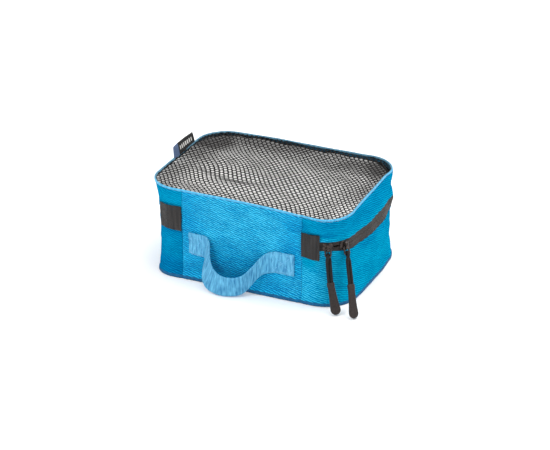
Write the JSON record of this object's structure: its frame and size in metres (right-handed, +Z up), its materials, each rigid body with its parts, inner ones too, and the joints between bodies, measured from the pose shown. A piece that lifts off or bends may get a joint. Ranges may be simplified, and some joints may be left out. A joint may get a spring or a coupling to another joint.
{
  "type": "packing cube",
  "caption": "Soft zipped packing cube with a net lid, webbing side handle, dark end patches and two cord-pull sliders.",
  "frame": {"origin": "centre of the underside, on the face that the cube rests on", "axes": "+X along the long side towards the zipper pulls, -Y out of the face with the handle, +Z up through the net lid"},
  "size_m": [0.2072, 0.156, 0.094],
  "materials": {
    "blue_fabric": "fine ripstop weave with a soft sheen",
    "dark_tape": "ribbed woven tape",
    "dark_coil": "nylon coil",
    "dark_net": "open diamond net",
    "white_tissue": "soft crumpled white tissue",
    "light_webbing": "flat woven webbing",
    "label_cloth": "fine woven label with a blue end",
    "dark_metal": "dark enamelled die casting",
    "dark_cord": "braided cord",
    "dark_rubber": "moulded matt rubber"
  },
  "bodies": {
    "base": {"base_front_panel": "blue_fabric", "base_side_band": "blue_fabric", "base_zip_tape": "dark_tape", "base_zip_coil": "dark_coil", "base_patch_left": "dark_tape", "base_patch_right": "dark_tape", "base_seam_binding_left": "blue_fabric", "base_seam_binding_right": "blue_fabric", "bottom_panel": "blue_fabric", "bottom_seam_binding": "blue_fabric", "handle_end_left": "light_webbing", "handle_end_right": "light_webbing", "handle_stitch_left": "light_webbing", "handle_stitch_right": "light_webbing"},
    "lid": {"lid_front_panel": "blue_fabric", "lid_side_band": "blue_fabric", "lid_zip_tape": "dark_tape", "lid_zip_coil": "dark_coil", "lid_patch_left": "dark_tape", "lid_patch_right": "dark_tape", "lid_seam_binding_left": "blue_fabric", "lid_seam_binding_right": "blue_fabric", "top_seam_binding": "blue_fabric", "mesh_panel": "dark_net", "net_lining": "white_tissue", "side_label": "label_cloth"},
    "handle": {"handle_loop": "light_webbing"},
    "slider_front": {"slider_body_front": "dark_metal"},
    "ring_front": {"pull_ring_front": "dark_metal"},
    "pull_front": {"pull_cord_front": "dark_cord", "pull_grip_front": "dark_rubber"},
    "slider_rear": {"slider_body_rear": "dark_metal"},
    "ring_rear": {"pull_ring_rear": "dark_metal"},
    "pull_rear": {"pull_cord_rear": "dark_cord", "pull_grip_rear": "dark_rubber"}
  },
  "joints": [
    {"name": "lid_hinge", "type": "hinge", "parent": "base", "child": "lid", "pos_m": [0, -0.0685, 0.0585], "axis": [1, 0, 0], "range_deg": [0, 115]},
    {"name": "handle_swing", "type": "hinge", "parent": "base", "child": "handle", "pos_m": [-0.0042, -0.068, 0.044], "axis": [1, 0, 0], "range_deg": [-110, 0]},
    {"name": "slider_front_run", "type": "hinge", "parent": "base", "child": "slider_front", "pos_m": [0.0655, -0.039, 0.056], "axis": [0, 0, 1], "range_deg": [-2, 7]},
    {"name": "ring_front_swing", "type": "hinge", "parent": "slider_front", "child": "ring_front", "pos_m": [0.07982, -0.06593, 0.0553], "axis": [0.8829, 0.4695, 0], "range_deg": [-110, 0]},
    {"name": "pull_front_swing", "type": "hinge", "parent": "ring_front", "child": "pull_front", "pos_m": [0.08041, -0.06703, 0.04821], "axis": [0.4695, -0.8829, 0], "range_deg": [-15, 5]},
    {"name": "slider_rear_run", "type": "hinge", "parent": "base", "child": "slider_rear", "pos_m": [0.0655, -0.039, 0.056], "axis": [0, 0, 1], "range_deg": [-5, 20]},
    {"name": "ring_rear_swing", "type": "hinge", "parent": "slider_rear", "child": "ring_rear", "pos_m": [0.09137, -0.05516, 0.0553], "axis": [0.5299, 0.848, 0], "range_deg": [-110, 0]},
    {"name": "pull_rear_swing", "type": "hinge", "parent": "ring_rear", "child": "pull_rear", "pos_m": [0.09385, -0.05671, 0.04872], "axis": [0.848, -0.5299, 0], "range_deg": [-4, 15]}
  ]
}
